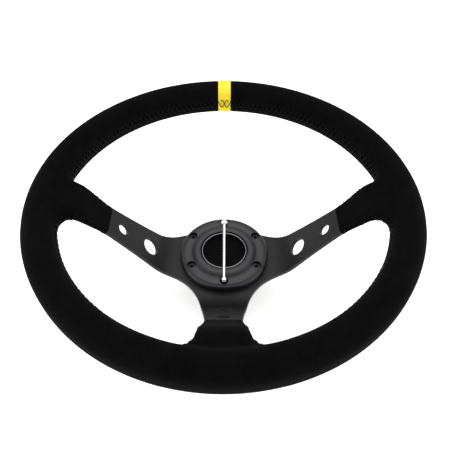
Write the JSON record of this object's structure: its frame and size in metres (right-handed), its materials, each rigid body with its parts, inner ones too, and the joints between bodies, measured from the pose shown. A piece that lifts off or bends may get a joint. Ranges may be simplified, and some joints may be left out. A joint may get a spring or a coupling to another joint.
{
  "type": "quick release steering wheel",
  "caption": "Deep-dish three-spoke steering wheel with a suede rim, bolted to a ball-lock quick release hub with a pull collar, with a hinged bar over the horn button.",
  "frame": {"origin": "centre of the rear end face of the column stub, at the mouth of its bore", "axes": "+Z along the wheel's axis towards the driver, +Y to the top of the wheel (coloured band), +X to the driver's right"},
  "size_m": [0.35, 0.35, 0.153],
  "materials": {
    "bright_steel": "turned steel, lightly oiled",
    "black_anodised": "black anodised, satin",
    "black_oxide": "black oxide",
    "collar_anodised": "black anodised, turned",
    "spring_steel": "drawn spring wire",
    "polished_steel": "ground bearing balls",
    "spoke_anodised": "brushed and black anodised, satin",
    "core_steel": "rolled steel",
    "rivet_steel": "zinc plated",
    "foam": "moulded polyurethane",
    "black_suede": "brushed suede",
    "yellow_suede": "dyed suede",
    "ring_plastic": "satin moulded",
    "polished_bar": "polished steel",
    "horn_plastic": "moulded, polished bead",
    "contact_brass": "stamped",
    "cap_plastic": "smooth moulded"
  },
  "bodies": {
    "column": {"column_stub": "bright_steel"},
    "wheel": {"release_body": "black_anodised", "retaining_ring": "black_oxide", "release_spring": "spring_steel", "spoke_plate": "spoke_anodised", "rim_core": "core_steel", "rim_rivets": "rivet_steel", "rim_foam": "foam", "rim_cover": "black_suede", "centre_band": "yellow_suede", "boot_left": "black_suede", "boot_right": "black_suede", "boot_bottom": "black_suede", "hub_ring": "ring_plastic", "hub_screws": "black_oxide", "catch_screw": "black_oxide", "pivot_screw": "black_oxide", "pivot_pin": "spring_steel", "horn_housing": "horn_plastic", "lower_contact": "contact_brass", "horn_spring": "spring_steel"},
    "collar": {"release_collar": "collar_anodised"},
    "ball_1": {"lock_ball_1": "polished_steel"},
    "ball_2": {"lock_ball_2": "polished_steel"},
    "ball_3": {"lock_ball_3": "polished_steel"},
    "ball_4": {"lock_ball_4": "polished_steel"},
    "ball_5": {"lock_ball_5": "polished_steel"},
    "ball_6": {"lock_ball_6": "polished_steel"},
    "horn_button": {"upper_contact": "contact_brass", "horn_cap": "cap_plastic"},
    "bar": {"release_bar": "polished_bar"}
  },
  "joints": [
    {"name": "wheel_pull", "type": "slide", "parent": "column", "child": "wheel", "axis": [0, 0, 1], "range_m": [0, 0.06]},
    {"name": "collar_pull", "type": "slide", "parent": "wheel", "child": "collar", "axis": [0, 0, 1], "range_m": [0, 0.006], "stiffness_N_per_m": 1500, "springref_m": -0.005, "deforming": ["release_spring"]},
    {"name": "ball_1_slide", "type": "slide", "parent": "wheel", "child": "ball_1", "axis": [1, 0, 0], "range_m": [0, 0.0014]},
    {"name": "ball_2_slide", "type": "slide", "parent": "wheel", "child": "ball_2", "axis": [0.5, 0.866, 0], "range_m": [0, 0.0014]},
    {"name": "ball_3_slide", "type": "slide", "parent": "wheel", "child": "ball_3", "axis": [-0.5, 0.866, 0], "range_m": [0, 0.0014]},
    {"name": "ball_4_slide", "type": "slide", "parent": "wheel", "child": "ball_4", "axis": [-1, 0, 0], "range_m": [0, 0.0014]},
    {"name": "ball_5_slide", "type": "slide", "parent": "wheel", "child": "ball_5", "axis": [-0.5, -0.866, 0], "range_m": [0, 0.0014]},
    {"name": "ball_6_slide", "type": "slide", "parent": "wheel", "child": "ball_6", "axis": [0.5, -0.866, 0], "range_m": [0, 0.0014]},
    {"name": "horn_press", "type": "slide", "parent": "wheel", "child": "horn_button", "axis": [0, 0, -1], "range_m": [0, 0.003], "stiffness_N_per_m": 800, "springref_m": -0.002, "deforming": ["horn_spring"]},
    {"name": "bar_lift", "type": "hinge", "parent": "wheel", "child": "bar", "pos_m": [0, -0.037, 0.0646], "axis": [1, 0, 0], "range_deg": [0, 100]}
  ],
  "couplings": [
    {"joint": "ball_1_slide", "follows": "collar_pull", "ratio": 0.23333},
    {"joint": "ball_2_slide", "follows": "collar_pull", "ratio": 0.23333},
    {"joint": "ball_3_slide", "follows": "collar_pull", "ratio": 0.23333},
    {"joint": "ball_4_slide", "follows": "collar_pull", "ratio": 0.23333},
    {"joint": "ball_5_slide", "follows": "collar_pull", "ratio": 0.23333},
    {"joint": "ball_6_slide", "follows": "collar_pull", "ratio": 0.23333}
  ]
}
